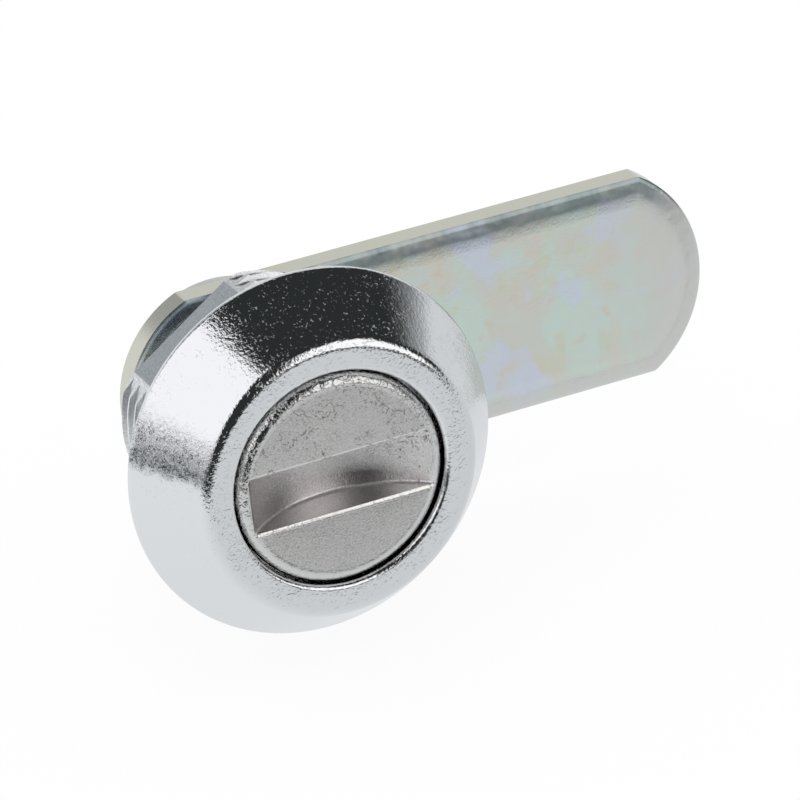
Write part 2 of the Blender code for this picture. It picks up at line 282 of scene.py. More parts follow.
def moved(where, distance):
    """The same place as read some distance away, for a noise that is independent of another."""
    sockets = {0: where, 1: (distance, distance, distance)}
    return where.board.node("ShaderNodeVectorMath", {"operation": "ADD"}, sockets)


def dots(where, spacing, radius, kept):
    """1 at the middle of scattered dots, falling to 0 at their radius. Only a share is kept."""
    sockets = {"Vector": where, "Scale": 1 / spacing}
    near = where.board.node("ShaderNodeTexVoronoi", {}, sockets)
    lot = Wire(where.board, near.socket.node.outputs["Color"])
    return (1 - step(near, 0.0, radius / spacing)) * (1 - step(lot, kept, kept + 0.02))


def creases(where, size, width):
    """Thin wavy lines, where a noise passes its middle value."""
    away = grain(where, size, 3.0) - 0.5
    return 1 - step(away * away, 0.0, width * width)


def raise_by(height, depth, under=None):
    """A bump whose height of 1 stands depth metres proud, laid over another bump."""
    sockets = {"Height": height, "Distance": depth, "Strength": 1.0}
    if under is not None:
        sockets["Normal"] = under
    return height.board.node("ShaderNodeBump", {}, sockets)


def new_finish(name):
    """A material, its board, and the wire of the place on the piece in metres."""
    material = bpy.data.materials.new(name)
    board = Board(material)
    return material, board, board.node("ShaderNodeTexCoord", out="Object")


def finish_with(board, sockets):
    """Ends a board in one Principled shader."""
    shader = board.node("ShaderNodeBsdfPrincipled", {}, sockets)
    board.node("ShaderNodeOutputMaterial", {}, {"Surface": shader})


print("shader words are ready")

# %% [markdown]
# ## The studio
#
# Polished plate has no colour of its own: it shows the room. So the room is the largest part of this
# picture. The photo's chrome tells where its lights stood. The cone reflects a big white panel at the
# left, a second one low at the right, a grey wall, a pale table, and a black ceiling, which is the dark
# band at the cone's top. Here the world is painted with those panels by direction. One could hang lamps
# instead, but a painted world has no noise and shows clean panel edges in the plate.

# %% Directions in the world
world = bpy.data.worlds.new("studio")
bpy.context.scene.world = world
sky = Board(world)
way = sky.node("ShaderNodeTexCoord", out="Generated")
way_x, way_y, way_z = axes_of(way)
toward_front = 0 - way_y
azimuth = sky.node("ShaderNodeMath", {"operation": "ARCTAN2"}, {0: way_x, 1: toward_front})
DEGREES = 180 / math.pi
azimuth = azimuth * DEGREES
elevation = sky.node("ShaderNodeMath", {"operation": "ARCSINE"}, {0: way_z}) * DEGREES
print("azimuth 0 is the lock's front, and 90 is +X")

# %% [markdown]
# Each panel is a window in azimuth and elevation, in degrees: where it starts, where it ends and how soft
# its edges are. The left panel comes up slowly from the table and ends sharply at its top, and that gives
# the cone its long grey run and its crisp black. The table's edge is tilted, because the real lock lay
# tipped back on the table while this one stands level.

# %% Panels and table
DARK_ROOM = rgb(0.028, 0.031, 0.031)
TABLE_PALE = rgb(0.865, 0.892, 0.910)
TABLE_DIM = rgb(0.670, 0.690, 0.704)
TABLE_TILT = (-0.05, -0.34, 0.94)
TABLE_EDGE = (-0.01, 0.03)
LEFT_PANEL = rgb(1.11, 1.11, 1.14)
LEFT_SPAN, LEFT_RISE, LEFT_TOP = (-138, -40, 2.0), (-11, 21), (63, 67)
FRONT_PANEL = rgb(1.18, 1.18, 1.18)
FRONT_SPAN, FRONT_HEIGHT = (8, 55, 3.0), (-5, 40, 3.0)
RIGHT_WALL = rgb(0.68, 0.70, 0.72)
RIGHT_SPAN, RIGHT_FADE = (80, 138, 6.0), (0, 30)
BACK_RIGHT = rgb(0.75, 0.76, 0.75)
BACK_LEFT = rgb(0.42, 0.44, 0.46)
BACK_EDGE, BACK_HEIGHT = (132, 140), (8, 44, 6.0)

above_table = sky.node(
    "ShaderNodeVectorMath", {"operation": "DOT_PRODUCT"}, {0: way, 1: TABLE_TILT}, out="Value"
)
on_table = 1 - step(above_table, *TABLE_EDGE)
table_colour = blend(way_x * 0.4 - way_y * 0.25 + 0.45, TABLE_PALE, TABLE_DIM)
left_panel = band(azimuth, *LEFT_SPAN) * step(elevation, *LEFT_RISE) * (1 - step(elevation, *LEFT_TOP))
front_panel = band(azimuth, *FRONT_SPAN) * band(elevation, *FRONT_HEIGHT)
right_wall = band(azimuth, *RIGHT_SPAN) * (1 - step(elevation, *RIGHT_FADE))
behind = step(azimuth * azimuth, BACK_EDGE[0] ** 2, BACK_EDGE[1] ** 2)
back_panel = behind * band(elevation, *BACK_HEIGHT)

room = blend(right_wall, DARK_ROOM, RIGHT_WALL)
room = blend(back_panel, room, blend(step(azimuth, -1, 1), BACK_LEFT, BACK_RIGHT))
room = blend(left_panel, room, LEFT_PANEL)
room = blend(front_panel, room, FRONT_PANEL)
room = blend(on_table, room, table_colour)
print("the room has four panels and a table")

# %% [markdown]
# The camera sees plain white, and matt surfaces get an even white light, at which a colour looks as it
# is written. Only glossy rays see the painted room. Picking world samples by brightness is switched off,
# because it can't tell these kinds of rays apart.

# %% Close the world
WHITE = rgb(1.0, 1.0, 1.0)
rays = sky.node("ShaderNodeLightPath", out="Is Glossy Ray")
seen = blend(rays, WHITE, room)
backdrop = sky.node("ShaderNodeBackground", {}, {"Color": seen, "Strength": 1.0})
sky.node("ShaderNodeOutputWorld", {}, {"Surface": backdrop})
world.cycles.sampling_method = "NONE"
print("the world is closed")

# %% [markdown]
# ## The camera
#
# The photo was taken with a long lens from the front left and above, with the camera rolled a little.
# The lens, the angles and the place of the lock in the frame were fitted to the photo's edges.

# %% Place the camera
FRAME_PIXELS = 800
FOCAL_PIXELS = 5400
PIXELS_PER_METRE = 13949
ORIGIN_PIXEL = (306.5, 448.1)
CAMERA_AZIMUTH = math.radians(-21.85)
CAMERA_ELEVATION = math.radians(24.72)
CAMERA_ROLL = math.radians(-6.38)

back = Vector((
    math.sin(CAMERA_AZIMUTH) * math.cos(CAMERA_ELEVATION),
    -math.cos(CAMERA_AZIMUTH) * math.cos(CAMERA_ELEVATION),
    math.sin(CAMERA_ELEVATION),
))
level_right = Vector((math.cos(CAMERA_AZIMUTH), math.sin(CAMERA_AZIMUTH), 0.0))
right = Matrix.Rotation(CAMERA_ROLL, 3, back) @ level_right
up = back.cross(right)
distance = FOCAL_PIXELS / PIXELS_PER_METRE
sideways = (ORIGIN_PIXEL[0] - FRAME_PIXELS / 2) / PIXELS_PER_METRE
downwards = (ORIGIN_PIXEL[1] - FRAME_PIXELS / 2) / PIXELS_PER_METRE

camera_data = bpy.data.cameras.new("camera")
camera_data.sensor_width = 36.0
camera_data.lens = FOCAL_PIXELS / FRAME_PIXELS * camera_data.sensor_width
camera_data.clip_start = 0.01
camera = bpy.data.objects.new("camera", camera_data)
place = back * distance - right * sideways + up * downwards
turned_to = Matrix((right, up, back)).transposed()
camera.matrix_world = Matrix.Translation(place) @ turned_to.to_4x4()
bpy.context.scene.collection.objects.link(camera)
bpy.context.scene.camera = camera
bpy.context.scene.view_settings.view_transform = "Standard"
print("camera at", tuple(place), "with a lens of", camera_data.lens, "mm")

# %% [markdown]
# ## The table top
#
# The lock hangs in a door in use, so nothing carries it here. A pale round of table just under it only
# takes its faint shadow. The table's colour for the camera is white, and a small share of it is a matt
# surface that the lock can shade. From below it is clear, and the plate doesn't see it, because the
# room that the plate sees has a table already.

# %% Table top
TABLE_RADIUS = 160 * MM
TABLE_DROP = 0.4 * MM
TABLE_SIDES = 96
SHADOW_SHARE = 0.09

table_bm = bmesh.new()
bmesh.ops.create_circle(table_bm, cap_ends=True, segments=TABLE_SIDES, radius=TABLE_RADIUS)
middle = (cad_low + cad_high) / 2
bmesh.ops.translate(table_bm, vec=(middle.x, middle.y, cad_low.z - TABLE_DROP), verts=table_bm.verts)
table = as_object("table_top", table_bm)
table_white = bpy.data.materials.new("table_white")
top = Board(table_white)
own_light = top.node("ShaderNodeEmission", {}, {"Color": WHITE, "Strength": 1.0})
matt = top.node("ShaderNodeBsdfDiffuse", {}, {"Color": WHITE})
surface = top.node("ShaderNodeMixShader", {}, {0: SHADOW_SHARE, 1: own_light, 2: matt})
clear = top.node("ShaderNodeBsdfTransparent")
under = top.node("ShaderNodeNewGeometry", out="Backfacing")
shown = top.node("ShaderNodeMixShader", {}, {0: under, 1: surface, 2: clear})
top.node("ShaderNodeOutputMaterial", {}, {"Surface": shown})
table.data.materials.append(table_white)
table.visible_glossy = False
print("the table top is", 2 * TABLE_RADIUS, "m across")

# %% [markdown]
# ## Zinc-plated steel and rubber
#
# The washers and the screw are bought in bright zinc. It is bluer and duller than the cam's film, with
# the fine tumbling marks of small parts. The seal is soft black rubber with a dull bloom.

# %% Washer steel and rubber
TUMBLE_GRAIN, TUMBLE_DEPTH = 0.4 * MM, 8e-6
STEEL_CLOUD = 3 * MM
BLUE_ZINC = rgb(0.58, 0.60, 0.61)
PALE_ZINC = rgb(0.68, 0.68, 0.66)
BLOOM_GRAIN, BLOOM_DEPTH = 0.8 * MM, 4e-6
RUBBER_BLACK = rgb(0.014, 0.014, 0.014)
RUBBER_BLOOM = rgb(0.035, 0.035, 0.035)


def washer_steel():
    material, board, where = new_finish("bright_zinc_steel")
    marks = grain(where, TUMBLE_GRAIN, 4.0)
    cloud = grain(where, STEEL_CLOUD, 2.0)
    finish_with(board, {
        "Base Color": blend(cloud, BLUE_ZINC, PALE_ZINC),
        "Metallic": 1.0,
        "Roughness": 0.22 + marks * 0.12,
        "Normal": raise_by(marks, TUMBLE_DEPTH),
    })
    return material


def seal_rubber():
    material, board, where = new_finish("black_rubber")
    bloom = grain(where, BLOOM_GRAIN, 3.0)
    finish_with(board, {
        "Base Color": blend(bloom, RUBBER_BLACK, RUBBER_BLOOM),
        "Roughness": 0.5 + bloom * 0.2,
        "Normal": raise_by(bloom, BLOOM_DEPTH),
    })
    return material


steel = washer_steel()
rubber = seal_rubber()
print("made", steel.name, "and", rubber.name)

# %% [markdown]
# ## Chrome plate
#
# The body is die-cast zinc under copper, nickel and chrome. Plate hides colour but not shape: every pore
# and ripple of the casting stays as a tilt of the mirror. A slow ripple bends the reflections, a fine peel
# frays their edges, steep nibs make the white specks, and short creases lie mostly on the front ring. One
# could paint the specks, but only a tilt shows white in a dark reflection and dark in a white one, as on
# the real plate. On the cone's left side, where pits crowd, the colour is painted dark: grime in the pits
# and cracks, and a painted dark reflection that is faint over that whole side and stronger over its lower
# part. The barrel and the flange's back are duller, because nobody polishes them.

# %% Marks of the plate
FLAT_DISTANCE = 8.25 * MM
FLAT_DIRECTION = math.radians(33.5)
UPPER_SIDE = (math.radians(42), math.radians(116), math.radians(8))
PITTED_TOP = (math.radians(147), math.radians(161))
PITTED_FOOT = (math.radians(164), math.radians(170))
# The lower part of the pitted side, which gets a painted dark reflection in its colour.
PAINTED_DARK_BAND = (math.radians(161), math.radians(166))
FRAY, FRAY_GRAIN = math.radians(5), 0.7 * MM
RIPPLE, RIPPLE_DEPTH = 5 * MM, 50e-6
PEEL, PEEL_DEPTH = 0.24 * MM, 24e-6
PATCH = 3.2 * MM
NIB_SPACING, NIB_RADIUS, NIBS_KEPT = 0.36 * MM, 0.06 * MM, 0.20
FLECK = 0.20 * MM
PIT_SPACING, PIT_RADIUS, PITS_KEPT = 0.15 * MM, 0.055 * MM, 0.04
WRINKLE, WRINKLE_WIDTH, WRINKLE_LENGTH = 0.9 * MM, 0.016, 0.5 * MM
CRACK, CRACK_WIDTH, CRACK_LENGTH = 0.26 * MM, 0.045, 0.5 * MM
RELIEF_DEPTH = 70e-6
print("pits stand", PIT_SPACING, "m apart, nibs", NIB_SPACING, "m and ripples", RIPPLE, "m")

# %% [markdown]
# The masks come first: where the barrel, the ring and the pitted side are. The marks come next, and then
# the bump that is made of them. Noise varies about 0.5, so a patch is a step between two levels of it.
# The distance in moved gives each noise a pattern of its own. The other plain numbers are shares, which
# say how strongly a mark counts in that place.

# %% Chrome plate
CHROME = rgb(0.80, 0.81, 0.82)
# One dark colour for the grime in pits and cracks and for the painted dark reflection on the pitted side.
GRIME_AND_PAINTED_DARK = rgb(0.07, 0.075, 0.08)
THREAD_GREYS = (rgb(0.74, 0.75, 0.76), rgb(0.90, 0.91, 0.92))
FLAT_GREYS = (rgb(0.62, 0.64, 0.66), rgb(0.74, 0.76, 0.78))
MOTTLE = 0.2 * MM


def chrome_plate():
    material, board, where = new_finish("bright_chrome_plate")
    sideways, along, height = axes_of(where)
    barrel = step(along, -0.05 * MM, -0.01 * MM)
    ring = 1 - step(along, FACE + 0.1 * MM, FACE + 0.8 * MM)
    turn = board.node("ShaderNodeMath", {"operation": "ARCTAN2"}, {0: height, 1: sideways})
    frayed = turn + (grain(moved(where, 0.7), FRAY_GRAIN) - 0.5) * FRAY
    pitted = step(frayed, *PITTED_TOP) * (1 - step(frayed, *PITTED_FOOT)) * (1 - barrel) * (1 - ring)
    patches = step(grain(where, PATCH, 2.0), 0.45, 0.60)
    upper = band(turn, *UPPER_SIDE)
    dusty = (0.12 + upper * 0.88) * (0.1 + patches * 0.9)
    peel = grain(where, PEEL, 2.5) * (0.7 + patches * 0.4 + ring * 0.35 - barrel * 0.5)
    nibs = dots(where, NIB_SPACING, NIB_RADIUS, NIBS_KEPT) * dusty
    flecks = step(grain(moved(where, 0.4), FLECK, 3.0, 0.6), 0.655, 0.70) * dusty * (1 - ring)
    pits = dots(moved(where, 0.3), PIT_SPACING, PIT_RADIUS, PITS_KEPT + pitted * 0.8)
    short = step(grain(moved(where, 0.2), WRINKLE_LENGTH), 0.52, 0.58)
    wrinkles = creases(where, WRINKLE, WRINKLE_WIDTH) * short * (0.2 + ring * 0.5)
    broken = step(grain(moved(where, 0.6), CRACK_LENGTH), 0.38, 0.50)
    cracks = creases(moved(where, 0.5), CRACK, CRACK_WIDTH) * broken
    bump = raise_by(grain(where, RIPPLE, 1.0), RIPPLE_DEPTH)
    bump = raise_by(peel, PEEL_DEPTH, bump)
    proud = nibs * 1.1 + flecks - pits * 0.6
    relief = (proud - wrinkles * 0.2 - cracks * pitted * 0.2) * (1 - barrel)
    bump = raise_by(relief, RELIEF_DEPTH, bump)
    # Pits and cracks hold grime; the 0.06 over the pitted side and the lower band are painted dark
    # reflection.
    grime_and_painted_dark = (cracks + pits * 0.6 + 0.06 + step(frayed, *PAINTED_DARK_BAND) * 0.5) * pitted
    across = height * math.cos(FLAT_DIRECTION) - sideways * math.sin(FLAT_DIRECTION)
    flat = step(across * across, (FLAT_DISTANCE - 0.03 * MM) ** 2, (FLAT_DISTANCE - HAIR) ** 2)
    mottle = step(grain(where, MOTTLE, 2.0), 0.36, 0.60)
    greys = blend(flat, blend(mottle, *THREAD_GREYS), blend(mottle, *FLAT_GREYS))
    finish_with(board, {
        "Base Color": blend(barrel, blend(grime_and_painted_dark, CHROME, GRIME_AND_PAINTED_DARK), greys),
        "Metallic": 1.0,
        "Roughness": 0.06 + barrel * 0.26 - flat * barrel * 0.16,
        "Normal": bump,
    })
    return material


chrome = chrome_plate()
print("made", chrome.name)

# %% [markdown]
# ## The housing
#
# One casting makes the cone-shaped flange, the front ring, the threaded barrel, the stepped bore and two
# stop lugs. Its whole section, outside and bore, is one closed profile. The cone is the line that touches
# both the rim's round and the ring's fillet, so both flow into it without an edge.

# %% Housing profile
RIM_ROUND = 0.66 * MM
RIM_BAND = 0.04 * MM
RING_WIDTH = 1.45 * MM
RING_FILLET = 1.16 * MM
FILLET_POINTS = 16
BORE_LIP = 0.4 * MM
HEAD_BORE = HEAD_RADIUS + 0.3 * MM
HEAD_GAP = 0.16 * MM
NECK_BORE = 6.5 * MM
BORE_STEP = FACE + 5.8 * MM
BARREL_CHAMFER = 0.2 * MM
THREAD_PITCH = 1.27 * MM
ROWS_A_PITCH = 20


def flange_side():
    """Outer side of the flange, from its back face to the front ring."""
    rim = (FLANGE_RADIUS - RIM_ROUND, -RIM_ROUND - RIM_BAND)
    fillet = (HEAD_BORE + RING_WIDTH, FACE + RING_FILLET)
    apart = math.hypot(fillet[0] - rim[0], fillet[1] - rim[1])
    leaning = math.atan2(fillet[1] - rim[1], fillet[0] - rim[0])
    cone = leaning + math.acos((RIM_ROUND - RING_FILLET) / apart)
    back_rim = arc((rim[0], -RIM_ROUND), RIM_ROUND, math.pi / 2, 0.0)
    front = arc(rim, RIM_ROUND, 0.0, cone) + arc(fillet, RING_FILLET, cone, -math.pi / 2, FILLET_POINTS)
    return back_rim + front


def barrel_side():
    """Rows along the barrel from its end to the flange, close enough together to carry the thread."""
    rows = round(BARREL_END / THREAD_PITCH * ROWS_A_PITCH)
    places = [BARREL_END * (1 - i / rows) for i in range(rows + 1)]
    return [(min(BARREL_RADIUS, BARREL_RADIUS - BARREL_CHAMFER + BARREL_END - y), y) for y in places]


def bore_side():
    bore = HEAD_RADIUS + HEAD_GAP
    lip = arc((bore + BORE_LIP, FACE + BORE_LIP), BORE_LIP, -math.pi / 2, -math.pi)
    return lip + [(bore, BORE_STEP), (NECK_BORE, BORE_STEP), (NECK_BORE, BARREL_END)]


housing_bm = spin(barrel_side() + flange_side() + bore_side())
print("housing blank has", len(housing_bm.verts), "points")

# %% [markdown]
# A thread is a ridge that climbs as it goes round. Each point of the barrel's side knows its angle and
# its place along the axis, and together they say how far it is from the ridge. Moving the points between
# ridges in to the root makes a true helix without a cutter. On this cast thread the ridge is narrow and
# the root is wide, and it ends on a full ridge at the barrel's rear end.

# %% Cut the thread
ROOT_DEPTH = 0.5 * MM
RIDGE_TOP = 0.09
RIDGE_FOOT = 0.27
THREAD_START = 0.9 * MM
CREST_PLACE = 10.83 * MM
CREST_ANGLE = math.radians(161.5)


def ridge(share):
    """Height of the ridge, 1 at its top and 0 at its foot, over one pitch from 0 to 1."""
    away = min(share, 1 - share)
    return min(1.0, max(0.0, (RIDGE_FOOT - away) / (RIDGE_FOOT - RIDGE_TOP)))


def cut_thread(bm, radius, start, end, pitch, depth, crest=(0.0, 0.0)):
    """Moves the points of a cylinder in between the ridges of a right-hand thread.

    crest is a (place, angle) that a ridge passes through."""
    for v in bm.verts:
        outward = math.hypot(v.co.x, v.co.z)
        if not start < v.co.y < end or abs(outward - radius) > depth:
            continue
        turn = (math.atan2(v.co.z, v.co.x) - crest[1]) / (2 * math.pi)
        share = ((v.co.y - crest[0]) / pitch + turn) % 1.0
        fade = min(1.0, (v.co.y - start) / pitch)
        new = min(outward, radius - depth * (1 - ridge(share)) * fade)
        v.co.x *= new / outward
        v.co.z *= new / outward


cut_thread(
    housing_bm, BARREL_RADIUS, THREAD_START, BARREL_END + HAIR, THREAD_PITCH, ROOT_DEPTH,
    (CREST_PLACE, CREST_ANGLE),
)
housing = as_object("chromed_housing", housing_bm)
print("thread of", THREAD_PITCH, "m pitch cut")

# %% [markdown]
# Two flats keep the barrel from turning in its hole, and two lugs on the rear end stop the core. Each
# flat has a narrow land along both sides, cut at half the angle to the round. It breaks the edge, and it
# shears the ridges' ends to the bright slanted tips that show beside the flat.

# %% Flats and lugs
FLAT_START = 0.02 * MM
LAND_WIDTH = 0.145 * MM
CUT_REACH = 12 * MM
LUG_INNER = 7.8 * MM
LUG_OUTER = 9.3 * MM
LUG_HALF_SPAN = math.radians(30.8)
LUG_ROOT = 0.4 * MM
LUG_POINTS = 24


def stack(layers):
    """A closed plate from (outline, place) layers, whose outlines have as many (x, z) points each."""
    bm = bmesh.new()
    loops = [[bm.verts.new((x, y, z)) for x, z in outline] for outline, y in layers]
    for near, far in zip(loops, loops[1:]):
        for i in range(len(near)):
            bm.faces.new((near[i - 1], far[i - 1], far[i], near[i]))
    bm.faces.new(loops[0])
    bm.faces.new(reversed(loops[-1]))
    bmesh.ops.recalc_face_normals(bm, faces=bm.faces)
    return bm


def flat_tool(turn):
    """What is cut away for one flat: its outline has the flat and a leaning land at each side."""
    root = BARREL_RADIUS - ROOT_DEPTH
    lean = math.acos(FLAT_DISTANCE / root) / 2
    half = math.sqrt(root**2 - FLAT_DISTANCE**2) - LAND_WIDTH * math.cos(lean)
    wing = FLAT_DISTANCE - (CUT_REACH - half) * math.tan(lean)
    side = [(half, FLAT_DISTANCE), (CUT_REACH, wing), (CUT_REACH, CUT_REACH)]
    outline = side + [(-x, z) for x, z in reversed(side)]
    bm = stack([(outline, FLAT_START), (outline, BARREL_END + MM)])
    bmesh.ops.rotate(bm, cent=(0, 0, 0), matrix=Matrix.Rotation(-turn, 3, "Y"), verts=bm.verts)
    return as_object("flat_tool", bm)


for turn in (FLAT_DIRECTION, FLAT_DIRECTION + math.pi):
    carve(housing, "DIFFERENCE", flat_tool(turn))
for direction in (FLAT_DIRECTION, FLAT_DIRECTION + math.pi):
    span = (direction - LUG_HALF_SPAN, direction + LUG_HALF_SPAN)
    outline = arc((0, 0), LUG_OUTER, *span, LUG_POINTS)
    outline += arc((0, 0), LUG_INNER, span[1], span[0], LUG_POINTS)
    lug = stack([(outline, BARREL_END - LUG_ROOT), (outline, LUG_END)])
    carve(housing, "UNION", as_object("lug", lug))
dress(housing, "lock_body", "housing", chrome)

# %% [markdown]
# ## Satin casting
#
# The core is the same casting with a thin, duller coat, so its face is a warm grey. It isn't blurred: a
# very fine grain scatters a fairly clear mirror, which is why its rounded edge still flashes black and
# white. Pores lie thickest in the upper half, and a painted highlight, a pale colour, runs along the long
# rims of the slot.

# %% The slot and the marks of the casting
SLOT_LENGTH = 14.1 * MM
SLOT_WIDTH = 4.3 * MM
SLOT_DEPTH = 3.36 * MM
SLOT_DROP = 0.24 * MM
SLOT_TOP = SLOT_WIDTH / 2 - SLOT_DROP
SLOT_BOTTOM = -SLOT_WIDTH / 2 - SLOT_DROP
EDGE_RING = (6.9 * MM, 7.3 * MM)
LIP_SOFT = 0.03 * MM
SATIN_GRAIN, SATIN_DEPTH = 0.14 * MM, 17e-6
DENT, DENT_DEPTH = 0.5 * MM, 90e-6
SATIN_CLOUD = 4 * MM
SPECKLE = 0.11 * MM
PITTED_PATCH = 1.5 * MM
PORE_SPACING, PORE_RADIUS, PORES_KEPT = 0.40 * MM, 0.11 * MM, 0.45
CRUST, CRUST_DEPTH = 0.28 * MM, 40e-6
LINE, LINE_WIDTH, LINE_LENGTH = 0.8 * MM, 0.02, 0.45 * MM
print("the slot is", SLOT_LENGTH, "m long and", SLOT_DEPTH, "m deep")

# %% [markdown]
# The rounded edge of the head is beaten by coins and tools, most of all at its upper left, so it gets
# dents of its own. The slot's right end is gritty. Light loses strength at each wall that it meets in the
# slot, so the metal in there is written paler than the face, to look as it does in the photo.

# %% Satin casting
FACE_GREYS = (rgb(0.49, 0.475, 0.455), rgb(0.68, 0.665, 0.645))
FACE_CLOUD = rgb(0.60, 0.59, 0.575)
SLOT_GREYS = (rgb(0.60, 0.58, 0.575), rgb(0.80, 0.77, 0.765))
EDGE_GREY = rgb(0.78, 0.775, 0.765)
PORE_DARK = rgb(0.20, 0.19, 0.18)
# The pale colour of the painted highlight along the slot's rims.
LIP_HIGHLIGHT_PAINT = rgb(0.92, 0.90, 0.87)


def satin_casting():
    material, board, where = new_finish("satin_plated_casting")
    sideways, along, height = axes_of(where)
    outward = sideways * sideways + height * height
    edge = step(outward, EDGE_RING[0] ** 2, EDGE_RING[1] ** 2)
    in_slot = step(along, FACE + 0.12 * MM, FACE + 0.4 * MM) * (1 - edge)
    cloud = grain(where, SATIN_CLOUD, 3.0)
    speckle = step(grain(where, SPECKLE, 2.0), 0.34, 0.66)
    upper = 0.15 + step(height, -1 * MM, 3 * MM) * 0.85
    pitted = step(grain(where, PITTED_PATCH, 3.0), 0.40, 0.58) * upper
    gritty = step(sideways, 3.4 * MM, 6.2 * MM) * in_slot
    pores = dots(where, PORE_SPACING, PORE_RADIUS, PORES_KEPT) * (1 - (1 - pitted) * (1 - gritty))
    crust = step(grain(moved(where, 0.4), CRUST, 3.0), 0.56, 0.66) * pitted
    short = step(grain(moved(where, 0.2), LINE_LENGTH), 0.52, 0.58)
    wrinkles = creases(where, LINE, LINE_WIDTH) * short * pitted
    # A painted highlight: a pale colour along the slot's long rims, weaker on the upper one.
    lip = band(height, SLOT_BOTTOM - 0.34 * MM, SLOT_BOTTOM + 0.02 * MM, LIP_SOFT)
    lip = lip + band(height, SLOT_TOP - 0.02 * MM, SLOT_TOP + 0.17 * MM, LIP_SOFT) * 0.7
    painted_lip_highlight = lip * (1 - step(along, FACE + 0.14 * MM, FACE + 0.2 * MM)) * (1 - edge)
    colour = blend(speckle, *FACE_GREYS)
    colour = blend(cloud, colour, FACE_CLOUD)
    colour = blend(in_slot, colour, blend(speckle, *SLOT_GREYS))
    colour = blend(edge * 0.7, colour, EDGE_GREY)
    colour = blend(pores * 0.6 + wrinkles * 0.65, colour, PORE_DARK)
    colour = blend(painted_lip_highlight * 0.8, colour, LIP_HIGHLIGHT_PAINT)
    beaten = edge * (0.35 + step(height - sideways, -6 * MM, 2 * MM) * 0.65)
    bump = raise_by(grain(where, DENT, 2.0) * beaten, DENT_DEPTH)
    bump = raise_by(grain(where, SATIN_GRAIN, 2.5) * (1 + edge * 0.5 + in_slot * 0.5), SATIN_DEPTH, bump)
    bump = raise_by(crust * 1.1 - pores - wrinkles, CRUST_DEPTH, bump)
    finish_with(board, {
        "Base Color": colour,
        "Metallic": 1.0,
        "Roughness": 0.17 + cloud * 0.04 + in_slot * 0.12 - edge * 0.11,
        "Normal": bump,
    })
    return material


satin = satin_casting()
print("made", satin.name)

# %% [markdown]
# ## The core
#
# The core is turned, apart from its square shank and the coin slot. So the blank is one spun profile, with
# the ring's groove in its neck. The shank is joined on, and the screw's hole is bored into its end.

# %% Core blank
HEAD_END = FACE + 5.5 * MM
HEAD_ROUND = 0.9 * MM
NECK_RADIUS = 6.3 * MM
GROOVE_RADIUS = 4.9 * MM
GROOVE_WIDTH = 1.8 * MM
GROOVE_MIDDLE = (seal_low.y + seal_high.y) / 2
SHANK_SIDE = 8.0 * MM
SCREW_HOLE = 2.7 * MM
SCREW_ROOM = 1.0 * MM
SHANK_OVERLAP = 0.5 * MM
HOLE_MOUTH = 16 * MM
HOLE_STEPS = 64
FACE_LAND = 0.1 * MM
EDGE_POINTS = 14


def block(name, size, centre):
    bm = bmesh.new()
    bmesh.ops.create_cube(bm, size=1.0)
    bmesh.ops.scale(bm, vec=size, verts=bm.verts)
    bmesh.ops.translate(bm, vec=centre, verts=bm.verts)
    return as_object(name, bm)


def core_blank():
    groove_start = GROOVE_MIDDLE - GROOVE_WIDTH / 2
    groove_end = GROOVE_MIDDLE + GROOVE_WIDTH / 2
    round_middle = (HEAD_RADIUS - HEAD_ROUND, FACE + HEAD_ROUND)
    edge = arc(round_middle, HEAD_ROUND, 0.0, -math.pi / 2, EDGE_POINTS)
    return spin(
        [(0.0, BARREL_END), (NECK_RADIUS, BARREL_END)]
        + [(NECK_RADIUS, groove_end), (GROOVE_RADIUS, groove_end)]
        + [(GROOVE_RADIUS, groove_start), (NECK_RADIUS, groove_start)]
        + [(NECK_RADIUS, HEAD_END), (HEAD_RADIUS, HEAD_END)]
        + edge + [(HEAD_RADIUS - HEAD_ROUND - FACE_LAND, FACE), (0.0, FACE)]
    )


core = as_object("slotted_core", core_blank())
shank_root = BARREL_END - SHANK_OVERLAP
shank_size = (SHANK_SIDE, core_high.y - shank_root, SHANK_SIDE)
carve(core, "UNION", block("shank", shank_size, (0.0, (core_high.y + shank_root) / 2, 0.0)))
hole_end = screw_low.y - SCREW_ROOM
hole = [(0.0, HOLE_MOUTH), (SCREW_HOLE, HOLE_MOUTH)]
hole += [(SCREW_HOLE, hole_end), (0.0, hole_end - SCREW_HOLE / 2)]
carve(core, "DIFFERENCE", as_object("tapped_hole", spin(hole, HOLE_STEPS)))
print("core blank has", len(core.data.vertices), "points")

# %% [markdown]
# A coin is round, so the slot has the shape that an edgewise coin would press: straight walls and a floor
# that is part of a cylinder. The cutter is that coin, with a small round at both corners of its rim. Then
# a prism rolls each long rim of the slot, so that it catches the light as a bright line.

# %% Coin slot
COIN_RADIUS = ((SLOT_LENGTH / 2) ** 2 + SLOT_DEPTH**2) / (2 * SLOT_DEPTH)
COIN_STEPS = 360
SLOT_CORNER = 0.25 * MM
CORNER_POINTS = 6
UPPER_LIP = 0.32 * MM
LOWER_LIP = 0.60 * MM
LIP_SLOPES = (math.radians(4), math.radians(36))
LIP_STEPS = 8
ALONG_X = Matrix(((0, 1, 0), (0, 0, 1), (1, 0, 0))).to_4x4()


def coin():
    """The cutter: a coin on edge whose rim has a small round at each corner."""
    half = SLOT_WIDTH / 2
    round_middle = (COIN_RADIUS - SLOT_CORNER, half - SLOT_CORNER)
    upper = arc(round_middle, SLOT_CORNER, math.pi / 2, 0.0, CORNER_POINTS)
    lower = [(radius, -place) for radius, place in reversed(upper)]
    bm = spin([(0.0, half)] + upper + lower + [(0.0, -half)], COIN_STEPS)
    bmesh.ops.rotate(bm, cent=(0, 0, 0), matrix=Matrix.Rotation(math.pi / 2, 3, "X"), verts=bm.verts)
    bmesh.ops.translate(bm, vec=(0.0, FACE + SLOT_DEPTH - COIN_RADIUS, -SLOT_DROP), verts=bm.verts)
    return as_object("coin", bm)


